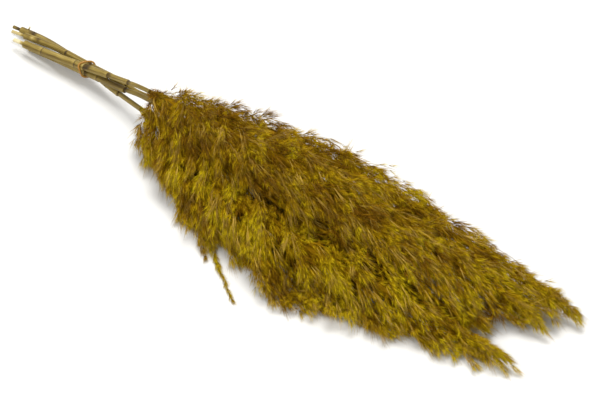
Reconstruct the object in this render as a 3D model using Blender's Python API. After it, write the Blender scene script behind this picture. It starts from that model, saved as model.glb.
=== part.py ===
"""Dried pampas grass: a bunch of four plumes on cut canes, bound with a thin ring, lying down.

Lengths here are in millimetres and become metres where a mesh is made. X runs from the cut ends to
the plume tips, Y to the back of the bunch, Z up, and the surface that it lies on is Z = 0.
"""

import math
import random

import bmesh
import bpy
from mathutils import Matrix, Vector

MM = 0.001
GAP = 0.3
UP = Vector((0, 0, 1))

# Each stalk is one line from its cut end, past the ring, to the tip of its plume: points (x, y, z).
# "base" is where the plume starts, "girth" gives the cane's radius from each x on, and "nodes" the
# places of its node rings.
STALKS = {
    "top": {
        "line": [(-9, -16.5, 11.5), (40, -14.5, 17.5), (90, -10.6, 23.3), (140, -12, 35), (193, -19, 50),
                 (300, -26, 62), (420, -27, 68), (560, -13, 50), (666, 6, 22)],
        "base": 193,
        "girth": [(-9, 2.1), (6, 4.2), (90, 3.6), (125, 2.9), (157, 2.3)],
        "nodes": [33, 78],
    },
    "back": {
        "line": [(-21, -7.5, 11.5), (35, -1.5, 16.5), (90, -2.8, 20.7), (140, -5, 26), (184, -9, 32),
                 (300, 10, 45), (420, 20, 51), (580, 28, 36), (684, 34, 26)],
        "base": 184,
        "girth": [(-21, 1.8), (-4, 3.5), (90, 3.4), (146, 2.4)],
        "nodes": [55],
    },
    "front": {
        "line": [(-29, 2.3, 8), (20, 7, 9), (90, -1.2, 12.7), (114, -5.5, 12.6), (145, -12.5, 16),
                 (184, -23, 24), (240, -40, 37), (320, -66, 39), (425, -84, 37), (570, -72, 29),
                 (672, -56, 10)],
        "base": 184,
        "girth": [(-29, 1.9), (-19, 3.9), (90, 3.6), (140, 2.7)],
        "nodes": [118],
    },
    "low": {
        "line": [(5, -7.5, 3.9), (45, -7.2, 8.6), (90, -9, 15.2), (140, -13, 25), (198, -17.5, 36),
                 (300, -33, 33), (420, -42, 28), (530, -46, 22), (622, -46, 12)],
        "base": 198,
        "girth": [(5, 3.9), (90, 3.6), (152, 2.5)],
        "nodes": [110],
    },
}
NODE_BULGE = 0.45
NODE_HALF = 1.2
CANE_STEP = 16

# Locks: how many grow on each plume, and their length, angle off the rachis in degrees, thickness
# and droop, each from the plume's base over its middle to its tip. Droop and pull turn a lock's
# heading down and along the plume, per 100 mm of its length.
LOCKS = {"top": 65, "back": 58, "front": 80, "low": 38}
LOCK_LENGTH = (68, 110, 50)
LOCK_ANGLE = (47, 42, 11)
LOCK_RADIUS = (7, 10.5, 5)
LOCK_DROOP = (3.4, 1.7, 1.0)
LOCK_PULL = 0.35
LOCK_STEPS = 12
LOCK_SHAPE = {0: 0.55, 4: 1.0, 8: 0.8}
FIRST_LOCK = 9
LAST_LOCK = 0.95
LOCK_CROWDING = 1.15
GOLDEN_ANGLE = 137.5
CORE_RADIUS = (3.0, 10, 13, 12, 9, 6)
CORE_SIDES = 7
CORE_CROWDING = 1.5
CORE_SHORT = 12
CORE_ROOM = 1.2

# Room that a lock keeps to its neighbours, as a share of its thickness, how deep the undersides sink
# before the surface trims them flat, and the scatter that keeps faces from lying in one plane.
LOCK_ROOM = 0.55
FLOOR_CUT = 0.5
SCATTER = 0.7

# These locks stray from the front plume and hang down to the surface.
STRAYS = [
    {"t": 0.26, "around": 30, "angle": 40, "length": 200, "radius": 2.4},
    {"t": 0.08, "around": -30, "angle": 30, "length": 165, "radius": 4.5},
    {"t": 0.18, "around": -20, "angle": 30, "length": 165, "radius": 5},
    {"t": 0.22, "around": 20, "angle": 30, "length": 165, "radius": 4},
]

# The ring round the canes.
TIE_X = 90
TIE_RADIUS = 0.85
TIE_SLANT = 4.5
TIE_FRONT = math.radians(132)
TIE_POINTS = 28

# A stub of a leaf on the cane of the front plume.
STUB = {"x": -12, "direction": (-0.35, 0.6, 0.72), "length": 9.5, "radius": 2.2}

COLOURS = {
    "cane": (0.34, 0.26, 0.075),
    "plume": (0.20, 0.125, 0.018),
    "ring": (0.28, 0.13, 0.02),
}


def mix3(values, t):
    """Value at t of a rule given at 0, 0.5 and 1."""
    if t < 0.5:
        return values[0] + (values[1] - values[0]) * t * 2
    return values[1] + (values[2] - values[1]) * (t * 2 - 1)


def smooth_line(points, steps=24):
    """Points of a smooth curve through the given ones."""
    ends = [points[0] * 2 - points[1]] + points + [points[-1] * 2 - points[-2]]
    out = []
    for a, b, c, d in zip(ends, ends[1:], ends[2:], ends[3:]):
        for k in range(steps):
            t = k / steps
            cubic = (3 * b - a - 3 * c + d) * t ** 3
            out.append((2 * b + (c - a) * t + (2 * a - 5 * b + 4 * c - d) * t ** 2 + cubic) / 2)
    out.append(points[-1])
    return out


LINES = {name: smooth_line([Vector(p) for p in stalk["line"]]) for name, stalk in STALKS.items()}


def at_x(name, x):
    """Point of a stalk's line at a given x, held at the height and depth of its ends."""
    line = LINES[name]
    if x <= line[0].x:
        return Vector((x, line[0].y, line[0].z))
    for a, b in zip(line, line[1:]):
        if a.x <= x <= b.x:
            return a.lerp(b, (x - a.x) / (b.x - a.x))
    return Vector((x, line[-1].y, line[-1].z))


def tangent(name, x):
    return (at_x(name, x + 1) - at_x(name, x - 1)).normalized()


def keep_clear(name, point, room):
    """Push a point up from the surface and back into its own plume's share of the bunch."""
    own = at_x(name, point.x)
    for _ in range(3):
        for other in STALKS:
            if other == name:
                continue
            inward = own - at_x(other, point.x)
            inward.x = 0
            half = inward.length / 2
            inward.normalize()
            lack = room - half - (point - own).dot(inward)
            if lack > 0:
                point = point + inward * lack
        if point.z < room:
            point = Vector((point.x, point.y, room))
    return point


def lock_path(name, t, around, angle, length, room):
    """A lock leaves the rachis, arches over and slides down along what it meets."""
    base = STALKS[name]["base"]
    tip = STALKS[name]["line"][-1][0]
    x = base + FIRST_LOCK + (tip - base - FIRST_LOCK) * t
    along = tangent(name, x)
    side = along.cross(UP).normalized()
    outward = side * math.cos(around) + side.cross(along) * math.sin(around)
    heading = along * math.cos(angle) + outward * math.sin(angle)
    droop = mix3(LOCK_DROOP, t)
    step = length / (LOCK_STEPS - 1)
    rooted = 4
    path = [at_x(name, x)]
    for k in range(1, LOCK_STEPS):
        heading = (heading + (along * LOCK_PULL - UP * droop) * step / 100).normalized()
        point = keep_clear(name, path[-1] + heading * step, room * min(1, k / rooted))
        heading = (point - path[-1]).normalized()
        path.append(point)
    return path


def add_ring(bm, centre, direction, radius, sides, turn, place):
    side = direction.cross(UP).normalized()
    above = side.cross(direction).normalized()
    ring = []
    for k in range(sides):
        a = turn + 2 * math.pi * k / sides
        point = centre + (side * math.cos(a) + above * math.sin(a)) * radius
        ring.append(bm.verts.new(place(point) * MM))
    return ring


def skin(bm, rings, tip):
    """Close a row of rings into a solid with a flat root and a pointed tip."""
    sides = len(rings[0])
    bm.faces.new(list(reversed(rings[0])))
    for a, b in zip(rings, rings[1:]):
        for k in range(sides):
            n = (k + 1) % sides
            bm.faces.new((a[k], a[n], b[n], b[k]))
    for k in range(sides):
        bm.faces.new((rings[-1][k], rings[-1][(k + 1) % sides], tip))
    bmesh.ops.triangulate(bm, faces=bm.faces[:])
    bmesh.ops.recalc_face_normals(bm, faces=bm.faces[:])


def new_object(name, bm, collection):
    mesh = bpy.data.meshes.new(name)
    bm.to_mesh(mesh)
    bm.free()
    thing = bpy.data.objects.new(name, mesh)
    collection.objects.link(thing)
    return thing


def add_lock(name, draw, t, around, angle, length, radius, collection):
    """One lock of fluff: a three-sided solid that tapers to its tip along its path."""
    path = lock_path(name, t, around, angle, length, radius * LOCK_ROOM + GAP)
    margin = GAP + draw.random() * SCATTER
    sink = FLOOR_CUT + draw.random() * SCATTER / 2

    def place(point):
        return keep_clear(name, point + UP * sink, margin) - UP * sink

    bm = bmesh.new()
    turn = draw.random() * math.pi
    rings = []
    for k, width in LOCK_SHAPE.items():
        rings.append(add_ring(bm, path[k], path[k + 1] - path[k], radius * width, 3, turn, place))
    skin(bm, rings, bm.verts.new(place(path[-1]) * MM))
    new_object("lock", bm, collection)


def add_locks(name, draw, collection):
    count = LOCKS[name]
    for k in range(count):
        t = ((k + draw.random()) / count) ** LOCK_CROWDING * LAST_LOCK
        around = math.radians(k * GOLDEN_ANGLE + draw.uniform(-25, 25))
        angle = math.radians(mix3(LOCK_ANGLE, t) + draw.uniform(-8, 8))
        length = mix3(LOCK_LENGTH, t) * draw.uniform(0.8, 1.15)
        radius = mix3(LOCK_RADIUS, t) * draw.uniform(0.85, 1.15)
        add_lock(name, draw, t, around, angle, length, radius, collection)
    for stray in STRAYS if name == "front" else []:
        add_lock(name, draw, stray["t"], math.radians(stray["around"]), math.radians(stray["angle"]),
                 stray["length"], stray["radius"], collection)


def core(name, collection):
    """The slim solid along the rachis that the locks root in."""
    start = STALKS[name]["base"]
    end = STALKS[name]["line"][-1][0] - CORE_SHORT
    bm = bmesh.new()

    def place(point):
        return keep_clear(name, point, CORE_ROOM)

    rings = []
    for k, radius in enumerate(CORE_RADIUS):
        x = start + (end - start) * (k / len(CORE_RADIUS)) ** CORE_CROWDING
        rings.append(add_ring(bm, at_x(name, x), tangent(name, x), radius, CORE_SIDES, 0.2, place))
    skin(bm, rings, bm.verts.new(at_x(name, end) * MM))
    return new_object(f"plume_{name}", bm, collection)


def keep_largest(mesh):
    """Fill the hollows that fusing sealed, and drop loose scraps: only the largest shell stays."""
    bm = bmesh.new()
    bm.from_mesh(mesh)
    left = set(bm.verts)
    shells = []
    while left:
        shell = {left.pop()}
        edge = list(shell)
        while edge:
            near = {e.other_vert(v) for v in edge for e in v.link_edges} & left
            left -= near
            shell |= near
            edge = list(near)
        shells.append(shell)
    shells.sort(key=len)
    bmesh.ops.delete(bm, geom=[v for shell in shells[:-1] for v in shell], context="VERTS")
    bmesh.ops.dissolve_limit(bm, angle_limit=math.radians(0.5), verts=bm.verts[:], edges=bm.edges[:])
    bmesh.ops.triangulate(bm, faces=bm.faces[:])
    bm.to_mesh(mesh)
    bm.free()


def apply_modifiers(thing):
    graph = bpy.context.evaluated_depsgraph_get()
    solid = bpy.data.meshes.new_from_object(thing.evaluated_get(graph))
    thing.modifiers.clear()
    thing.data = solid
    keep_largest(solid)


def make_plume(name, bunch, cutters):
    draw = random.Random(f"pampas {name}")
    body = core(name, bunch)
    locks = bpy.data.collections.new("locks")
    bpy.context.scene.collection.children.link(locks)
    add_locks(name, draw, locks)
    join = body.modifiers.new("join locks", "BOOLEAN")
    join.operation = "UNION"
    join.operand_type = "COLLECTION"
    join.collection = locks
    join.solver = "MANIFOLD"
    flat = body.modifiers.new("flat underside", "BOOLEAN")
    flat.operation = "DIFFERENCE"
    flat.object = cutters["floor"]
    flat.solver = "MANIFOLD"
    apply_modifiers(body)
    for piece in list(locks.objects):
        bpy.data.objects.remove(piece, do_unlink=True)
    bpy.data.collections.remove(locks)
    return body


def tube(name, points, radii, closed, collection):
    """A tube through the points as a closed mesh, modelled as a bevelled curve."""
    curve = bpy.data.curves.new(name, "CURVE")
    curve.dimensions = "3D"
    curve.bevel_depth = MM
    curve.bevel_resolution = 2
    curve.use_fill_caps = not closed
    line = curve.splines.new("POLY")
    line.points.add(len(points) - 1)
    for knot, point, radius in zip(line.points, points, radii):
        knot.co = (*(point * MM), 1)
        knot.radius = radius
    line.use_cyclic_u = closed
    guide = bpy.data.objects.new(name, curve)
    collection.objects.link(guide)
    graph = bpy.context.evaluated_depsgraph_get()
    mesh = bpy.data.meshes.new_from_object(guide.evaluated_get(graph))
    bpy.data.objects.remove(guide, do_unlink=True)
    bpy.data.curves.remove(curve)
    bm = bmesh.new()
    bm.from_mesh(mesh)
    bmesh.ops.remove_doubles(bm, verts=bm.verts[:], dist=0.00001)
    bm.to_mesh(mesh)
    bm.free()
    thing = bpy.data.objects.new(name, mesh)
    collection.objects.link(thing)
    return thing


def girth_at(name, x):
    steps = STALKS[name]["girth"]
    radius = steps[0][1]
    for start, value in steps:
        if x >= start:
            radius = value
    return radius


def make_cane(name, bunch):
    """A cane with the steps where a leaf sheath ends and the bulges at its nodes."""
    stalk = STALKS[name]
    start = stalk["line"][0][0]
    end = stalk["base"] - GAP
    count = math.ceil((end - start) / CANE_STEP)
    stations = {start + (end - start) * k / count: 0 for k in range(count + 1)}
    for x, radius in stalk["girth"][1:]:
        stations[x - 0.5] = 0
        stations[x + 0.5] = 0
    for x in stalk["nodes"]:
        stations[x - NODE_HALF] = 0
        stations[x] = NODE_BULGE
        stations[x + NODE_HALF] = 0
    places = sorted(stations)
    points = [at_x(name, x) for x in places]
    radii = [girth_at(name, x) + stations[x] for x in places]
    return tube(f"cane_{name}", points, radii, False, bunch)


def add_leaf_stub(cane, bunch):
    """The torn foot of a leaf, grown out of the cane's sheath."""
    direction = Vector(STUB["direction"]).normalized()
    middle = at_x("front", STUB["x"]) + direction * STUB["length"] / 2
    bm = bmesh.new()
    bmesh.ops.create_cone(bm, cap_ends=True, segments=5, radius1=STUB["radius"] * MM,
                          radius2=0.3 * MM, depth=STUB["length"] * MM)
    turn = direction.to_track_quat("Z", "Y").to_matrix().to_4x4()
    bm.transform(Matrix.Translation(middle * MM) @ turn)
    stub = new_object("leaf stub", bm, bunch)
    join = cane.modifiers.new("join stub", "BOOLEAN")
    join.operation = "UNION"
    join.object = stub
    join.solver = "EXACT"
    apply_modifiers(cane)
    bpy.data.objects.remove(stub, do_unlink=True)


def ring_reach(x, direction):
    """How far the ring's wire lies out in a direction across the bunch, clear of every cane."""
    cane = max(at_x(name, x).dot(direction) + girth_at(name, x) for name in STALKS)
    return cane + TIE_RADIUS + GAP


def make_ring(bunch):
    """The ring hugs the canes: each point is where two lines that just touch their outline meet."""
    points = []
    turn = 2 * math.pi / TIE_POINTS
    for k in range(TIE_POINTS):
        x = TIE_X - TIE_SLANT * math.cos(k * turn - TIE_FRONT)
        out = Vector((0, math.cos(k * turn), math.sin(k * turn)))
        around = Vector((0, -out.z, out.y))
        following = out * math.cos(turn) + around * math.sin(turn)
        reach = ring_reach(x, out)
        slide = (ring_reach(x, following) - reach * math.cos(turn)) / math.sin(turn)
        points.append(Vector((x, 0, 0)) + out * reach + around * slide)
    return tube("ring", points, [TIE_RADIUS] * len(points), True, bunch)


def make_material(name, roughness):
    material = bpy.data.materials.new(name)
    material.use_nodes = True
    shader = material.node_tree.nodes["Principled BSDF"]
    shader.inputs["Base Color"].default_value = (*COLOURS[name], 1)
    shader.inputs["Roughness"].default_value = roughness
    shader.inputs["Metallic"].default_value = 0
    return material


def make_cutters():
    """The surface that the bunch lies on, as a block that trims what sinks below it."""
    cutters = bpy.data.collections.new("cutters")
    bpy.context.scene.collection.children.link(cutters)
    bm = bmesh.new()
    bmesh.ops.create_cube(bm, size=1)
    bmesh.ops.scale(bm, vec=(1.4, 0.8, 0.1), verts=bm.verts[:])
    bmesh.ops.translate(bm, vec=(0.35, 0, -0.05), verts=bm.verts[:])
    floor = new_object("floor_cutter", bm, cutters)
    floor.hide_render = True
    floor.display_type = "WIRE"
    return {"floor": floor}


def centre_on_origin(things):
    """Put the origin at the middle of the bounding box, on the surface that the bunch lies on."""
    corners = [thing.matrix_world @ Vector(c) for thing in things for c in thing.bound_box]
    low = [min(c[k] for c in corners) for k in range(3)]
    high = [max(c[k] for c in corners) for k in range(3)]
    shift = Matrix.Translation((-(low[0] + high[0]) / 2, -(low[1] + high[1]) / 2, -low[2]))
    for thing in things:
        thing.data.transform(shift)


def main():
    for thing in list(bpy.data.objects):
        bpy.data.objects.remove(thing, do_unlink=True)
    bunch = bpy.data.collections.new("pampas bunch")
    bpy.context.scene.collection.children.link(bunch)
    cutters = make_cutters()
    cane = make_material("cane", 0.6)
    fluff = make_material("plume", 0.95)
    cord = make_material("ring", 0.5)
    things = []
    for name in STALKS:
        plume = make_plume(name, bunch, cutters)
        plume.data.materials.append(fluff)
        stem = make_cane(name, bunch)
        if name == "front":
            add_leaf_stub(stem, bunch)
        stem.data.materials.append(cane)
        things += [plume, stem]
    ring = make_ring(bunch)
    ring.data.materials.append(cord)
    things.append(ring)
    centre_on_origin(things)


main()
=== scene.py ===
# %% [markdown]
# # A bunch of dried pampas grass
#
# The bunch is four plumes on cut canes, tied with one thin band, and it lies on a pale surface. The
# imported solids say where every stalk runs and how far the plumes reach. This file adds what the eye
# wants close up: silky hairs, papery glumes, fine branchlets, straw with its sheaths and nodes, cut
# ends and the band's own surface.

# %% Load the solids
import math
import random

import bpy
import numpy as np
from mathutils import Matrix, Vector, noise


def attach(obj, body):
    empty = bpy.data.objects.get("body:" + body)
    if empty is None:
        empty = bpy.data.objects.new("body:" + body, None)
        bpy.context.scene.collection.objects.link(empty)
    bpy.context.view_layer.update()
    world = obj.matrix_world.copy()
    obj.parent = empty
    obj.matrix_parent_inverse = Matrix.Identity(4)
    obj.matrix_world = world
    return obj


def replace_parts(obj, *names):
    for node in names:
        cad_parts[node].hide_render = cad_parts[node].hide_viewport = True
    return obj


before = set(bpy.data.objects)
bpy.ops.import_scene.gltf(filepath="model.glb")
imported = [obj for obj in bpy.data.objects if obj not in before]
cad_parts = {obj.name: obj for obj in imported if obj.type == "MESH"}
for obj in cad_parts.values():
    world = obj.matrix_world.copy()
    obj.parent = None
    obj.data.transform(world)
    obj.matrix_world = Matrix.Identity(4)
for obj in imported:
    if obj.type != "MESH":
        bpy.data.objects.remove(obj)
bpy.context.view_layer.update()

MM = 0.001
UP = Vector((0, 0, 1))
print("solids:", ", ".join(sorted(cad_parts)))

# %% [markdown]
# ## The camera
#
# The photograph looks down on the bunch at 40 degrees through a long lens, so that one pixel is close
# to one millimetre all over it. A camera could be turned by hand until the outlines agree. Here it is
# placed from the height and the turn of the view, because those two angles say what was done.

# %% Place the camera
PHOTO_WIDTH = 611
VIEW_RISE = math.radians(40)
VIEW_TURN = math.radians(41.9)
VIEW_DISTANCE = 4.0
VIEW_CENTRE = Vector((0.07711, 0.01994, 0.030))
PIXELS_PER_METRE = 1000


def add_camera():
    level = Vector((math.sin(VIEW_TURN), -math.cos(VIEW_TURN), 0))
    towards = level * math.cos(VIEW_RISE) + UP * math.sin(VIEW_RISE)
    bpy.ops.object.select_all(action="DESELECT")
    bpy.ops.object.camera_add(location=VIEW_CENTRE + towards * VIEW_DISTANCE)
    camera = bpy.context.object
    camera.name = "camera"
    camera.rotation_euler = towards.to_track_quat("Z", "Y").to_euler()
    camera.data.lens = camera.data.sensor_width * PIXELS_PER_METRE * VIEW_DISTANCE / PHOTO_WIDTH
    bpy.context.scene.camera = camera
    return camera


camera = add_camera()
print(f"camera: lens {camera.data.lens:.0f} mm from {VIEW_DISTANCE} m")

# %% [markdown]
# ## Colours and nodes
#
# Colours are written as the hex values that a picture editor shows, and one function turns them into
# the linear values that a shader takes. One more adds a node with its settings and links, so that a
# material reads as a list of what it is made of.

# %% Helpers for materials
def linear(code):
    """An sRGB hex colour as a linear colour."""
    values = [int(code[k:k + 2], 16) / 255 for k in (1, 3, 5)]
    return (*[v / 12.92 if v <= 0.04045 else ((v + 0.055) / 1.055) ** 2.4 for v in values], 1)


def new_material(name, roughness):
    material = bpy.data.materials.new(name)
    material.use_nodes = True
    shader = material.node_tree.nodes["Principled BSDF"]
    shader.inputs["Roughness"].default_value = roughness
    return material, shader


def add_node(material, kind, settings=None, inputs=None):
    """Add a node: settings by name, then inputs as values or as (node, output) to link."""
    node = material.node_tree.nodes.new(kind)
    for key, value in (settings or {}).items():
        setattr(node, key, value)
    for key, value in (inputs or {}).items():
        if isinstance(value, tuple) and isinstance(value[0], bpy.types.Node):
            material.node_tree.links.new(value[0].outputs[value[1]], node.inputs[key])
        else:
            node.inputs[key].default_value = value
    return node


def set_stops(ramp, stops):
    """Give a colour ramp its stops, each a place and a hex colour."""
    elements = ramp.color_ramp.elements
    for k, (place, colour) in enumerate(stops):
        stop = elements[k] if k < 2 else elements.new(place)
        stop.position = place
        stop.color = linear(colour)
    return ramp


print("middle grey is", round(linear("#808080")[0], 3), "in linear light")

# %% [markdown]
# ## Surface and light
#
# The bunch was photographed on a seamless white surface, which is matt paper here. Two large soft
# boxes and a bright room give gentle shadows: one box hangs overhead, a little behind, and a weaker
# one in front opens up the shaded side. Small lamps would give each hair a hard shadow.

# %% Lay the paper and hang the lights
PAPER_SIZE = 60


def lay_paper():
    bpy.ops.mesh.primitive_plane_add(size=PAPER_SIZE)
    paper = bpy.context.object
    paper.name = "paper"
    # Uncoated paper scatters light evenly, so the eye gets a pale ground with no highlight on it.
    material, shader = new_material("matt white paper", roughness=0.9)
    shader.inputs["Base Color"].default_value = linear("#d8d7d4")
    shader.inputs["Specular IOR Level"].default_value = 0.1
    paper.data.materials.append(material)


def add_softbox(name, place, size, watts):
    bpy.ops.object.light_add(type="AREA", location=place)
    box = bpy.context.object
    box.name = name
    box.data.size = size
    box.data.energy = watts
    box.rotation_euler = Vector(place).to_track_quat("Z", "Y").to_euler()


bpy.ops.object.select_all(action="DESELECT")
lay_paper()
add_softbox("overhead softbox", place=(-0.1, 0.45, 2.2), size=1.4, watts=53)
add_softbox("front softbox", place=(0.6, -2.0, 1.6), size=1.2, watts=26)
room = bpy.data.worlds.new("bright room")
room.use_nodes = True
room.node_tree.nodes["Background"].inputs["Color"].default_value = (1, 1, 1, 1)
room.node_tree.nodes["Background"].inputs["Strength"].default_value = 0.75
bpy.context.scene.world = room
bpy.context.scene.view_settings.view_transform = "Standard"

# %% [markdown]
# ## The stalks
#
# Everything hangs on four stalks, each a smooth line through a few points, from its cut end past the
# band to the tip of its plume. They are the same lines that the solids were built on, in millimetres,
# and BUNCH_ZERO is where the solids' origin lies among them. Sharing the lines is safer than reading
# them back from the solids, because each hair then grows from the stalk that it belongs to.

# %% Lines of the stalks
# A stalk's girth lists where each radius starts along it. Its plume grows from "base" on.
BUNCH_ZERO = Vector((338.595, -48.0424, 0))
GAP = 0.3
STALKS = {
    "top": {
        "line": [(-9, -16.5, 11.5), (40, -14.5, 17.5), (90, -10.6, 23.3), (140, -12, 35),
                 (193, -19, 50), (300, -26, 62), (420, -27, 68), (560, -13, 50), (666, 6, 22)],
        "base": 193,
        "girth": [(-9, 2.1), (6, 4.2), (90, 3.6), (125, 2.9), (157, 2.3)],
        "nodes": [33, 78],
    },
    "back": {
        "line": [(-21, -7.5, 11.5), (35, -1.5, 16.5), (90, -2.8, 20.7), (140, -5, 26),
                 (184, -9, 32), (300, 10, 45), (420, 20, 51), (580, 28, 36), (684, 34, 26)],
        "base": 184,
        "girth": [(-21, 1.8), (-4, 3.5), (90, 3.4), (146, 2.4)],
        "nodes": [55],
    },
    "front": {
        "line": [(-29, 2.3, 8), (20, 7, 9), (90, -1.2, 12.7), (114, -5.5, 12.6),
                 (145, -12.5, 16), (184, -23, 24), (240, -40, 37), (320, -66, 39),
                 (425, -84, 37), (570, -72, 29), (672, -56, 10)],
        "base": 184,
        "girth": [(-29, 1.9), (-19, 3.9), (90, 3.6), (140, 2.7)],
        "nodes": [118],
    },
    "low": {
        "line": [(5, -7.5, 3.9), (45, -7.2, 8.6), (90, -9, 15.2), (140, -13, 25),
                 (198, -17.5, 36), (300, -33, 33), (420, -42, 28), (530, -46, 22),
                 (622, -46, 12)],
        "base": 198,
        "girth": [(5, 3.9), (90, 3.6), (152, 2.5)],
        "nodes": [110],
    },
}


def smooth_line(points, steps=24):
    """Points of a smooth curve through the given ones."""
    ends = [points[0] * 2 - points[1]] + points + [points[-1] * 2 - points[-2]]
    out = []
    for a, b, c, d in zip(ends, ends[1:], ends[2:], ends[3:]):
        for k in range(steps):
            t = k / steps
            cubic = (3 * b - a - 3 * c + d) * t ** 3
            out.append((2 * b + (c - a) * t + (2 * a - 5 * b + 4 * c - d) * t ** 2 + cubic) / 2)
    out.append(points[-1])
    return out


LINES = {name: smooth_line([Vector(p) for p in stalk["line"]]) for name, stalk in STALKS.items()}


def at_x(name, x):
    """Point of a stalk's line at a given x, held at the height and depth of its ends."""
    line = LINES[name]
    if x <= line[0].x:
        return Vector((x, line[0].y, line[0].z))
    for a, b in zip(line, line[1:]):
        if a.x <= x <= b.x:
            return a.lerp(b, (x - a.x) / (b.x - a.x))
    return Vector((x, line[-1].y, line[-1].z))


def tangent(name, x):
    return (at_x(name, x + 1) - at_x(name, x - 1)).normalized()


def turned_out(along, turn):
    """Unit vector across a stalk, turned round it from the level side."""
    side = along.cross(UP).normalized()
    return side * math.cos(turn) + side.cross(along) * math.sin(turn)


def plume_ends(name):
    """Where a plume's base and tip are along the bunch."""
    return STALKS[name]["base"], STALKS[name]["line"][-1][0]


for name, stalk in STALKS.items():
    print(f"{name}: {stalk['line'][-1][0] - stalk['line'][0][0]} mm along the bunch")

# %% [markdown]
# ## How a lock falls
#
# A pampas plume is a thin rachis with side branches all round it, and each branch carries a lock of
# fluff. A lock leaves the rachis at an angle, arches over under its own weight and comes to lie along
# what it meets: the surface or the next plume. Each lock's path is walked in small steps that turn
# down and along. A hair simulation could do this too, but could not be repeated as surely.

# %% Paths of the locks
# Three values stand for the base, middle and tip of a plume. Droop and pull turn a lock per 100 mm:
# the droop downwards, the pull along the stalk. Strays are the few long locks that hang out in front.
LOCKS = {"top": 65, "back": 58, "front": 80, "low": 38}
LOCK_LENGTH = (68, 110, 50)
LOCK_ANGLE = (47, 42, 11)
LOCK_RADIUS = (7, 10.5, 5)
LOCK_DROOP = (3.4, 1.7, 1.0)
LOCK_PULL = 0.35
LOCK_STEPS = 12
ROOTED_STEPS = 4
CLEAR_ROUNDS = 3
FIRST_LOCK = 9
LAST_LOCK = 0.95
LOCK_CROWDING = 1.15
GOLDEN_ANGLE = 137.5
LOCK_ROOM = 0.55
STRAYS = [
    {"t": 0.26, "around": 30, "angle": 40, "length": 200, "radius": 2.4},
    {"t": 0.08, "around": -30, "angle": 30, "length": 165, "radius": 4.5},
    {"t": 0.18, "around": -20, "angle": 30, "length": 165, "radius": 5},
    {"t": 0.22, "around": 20, "angle": 30, "length": 165, "radius": 4},
]


def mix3(values, t):
    """Value at t of a rule given at 0, 0.5 and 1."""
    if t < 0.5:
        return values[0] + (values[1] - values[0]) * t * 2
    return values[1] + (values[2] - values[1]) * (t * 2 - 1)


def keep_clear(name, point, room):
    """Push a point up from the surface and back into its own plume's share of the bunch."""
    own = at_x(name, point.x)
    for _ in range(CLEAR_ROUNDS):
        for other in STALKS:
            if other == name:
                continue
            inward = own - at_x(other, point.x)
            inward.x = 0
            half = inward.length / 2
            inward.normalize()
            lack = room - half - (point - own).dot(inward)
            if lack > 0:
                point = point + inward * lack
        if point.z < room:
            point = Vector((point.x, point.y, room))
    return point


def lock_path(name, t, around, angle, length, radius):
    """A lock leaves the rachis, arches over and slides down along what it meets."""
    room = radius * LOCK_ROOM + GAP
    base, tip = plume_ends(name)
    x = base + FIRST_LOCK + (tip - base - FIRST_LOCK) * t
    along = tangent(name, x)
    heading = along * math.cos(angle) + turned_out(along, around) * math.sin(angle)
    droop = mix3(LOCK_DROOP, t)
    step = length / (LOCK_STEPS - 1)
    path = [at_x(name, x)]
    for k in range(1, LOCK_STEPS):
        heading = (heading + (along * LOCK_PULL - UP * droop) * step / 100).normalized()
        point = keep_clear(name, path[-1] + heading * step, room * min(1, k / ROOTED_STEPS))
        heading = (point - path[-1]).normalized()
        path.append(point)
    return np.array(path)


print("branches to grow:", LOCKS)

# %% [markdown]
# The solids stop at one thick lock for each branch. The real plume also has many short, thin ones
# between them, the first of which lie close to the cane, so a second set is drawn here. Each set could
# be placed by hand, but a seeded draw gives the same natural unevenness in every run.

# %% Thick and fine locks
FINE_SHARE = 1.3
FINE_LENGTH = (0.55, 0.95)
FINE_RADIUS = (0.55, 0.85)
FIRST_FINE = -0.015
FINE_CLOSED = 0.5
FINE_OPENING = 8
AROUND_SPREAD = (-25, 25)
ANGLE_SPREAD = (-8, 8)
LENGTH_SPREAD = (0.8, 1.15)
RADIUS_SPREAD = (0.85, 1.15)
DRAWS_OF_SOLID = 3


def draw_lock(name, draw, k, t, opening=1, fine=False):
    """The path and radius of one lock, with its direction and size drawn."""
    around = math.radians(k * GOLDEN_ANGLE + draw.uniform(*AROUND_SPREAD))
    angle = math.radians(mix3(LOCK_ANGLE, t) + draw.uniform(*ANGLE_SPREAD)) * opening
    length = mix3(LOCK_LENGTH, t) * draw.uniform(*LENGTH_SPREAD)
    if fine:
        length *= draw.uniform(*FINE_LENGTH)
    radius = mix3(LOCK_RADIUS, t) * draw.uniform(*RADIUS_SPREAD)
    if fine:
        radius *= draw.uniform(*FINE_RADIUS)
    return lock_path(name, t, around, angle, length, radius), radius


def solid_locks(name):
    """The locks of the plume's solid, drawn in the same order as there."""
    draw = random.Random(f"pampas {name}")
    locks = []
    count = LOCKS[name]
    for k in range(count):
        t = ((k + draw.random()) / count) ** LOCK_CROWDING * LAST_LOCK
        locks.append(draw_lock(name, draw, k, t))
        # The solid also draws two clearances of each lock and the turn of its facets.
        for _ in range(DRAWS_OF_SOLID):
            draw.random()
    return locks


def fine_locks(name):
    draw = random.Random(f"fluff {name}")
    locks = []
    count = round(LOCKS[name] * FINE_SHARE)
    for k in range(count):
        t = FIRST_FINE + ((k + draw.random()) / count) ** LOCK_CROWDING * (LAST_LOCK - 2 * FIRST_FINE)
        opening = min(1, FINE_CLOSED + (t - FIRST_FINE) * FINE_OPENING)
        locks.append(draw_lock(name, draw, k, t, opening, fine=True))
    return locks


def stray_lock(stray):
    around, angle = math.radians(stray["around"]), math.radians(stray["angle"])
    radius = stray["radius"]
    return lock_path("front", stray["t"], around, angle, stray["length"], radius), radius


branches = {name: solid_locks(name) + fine_locks(name) for name in STALKS}
strays = [stray_lock(stray) for stray in STRAYS]
print("locks:", {name: len(locks) for name, locks in branches.items()})

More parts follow.
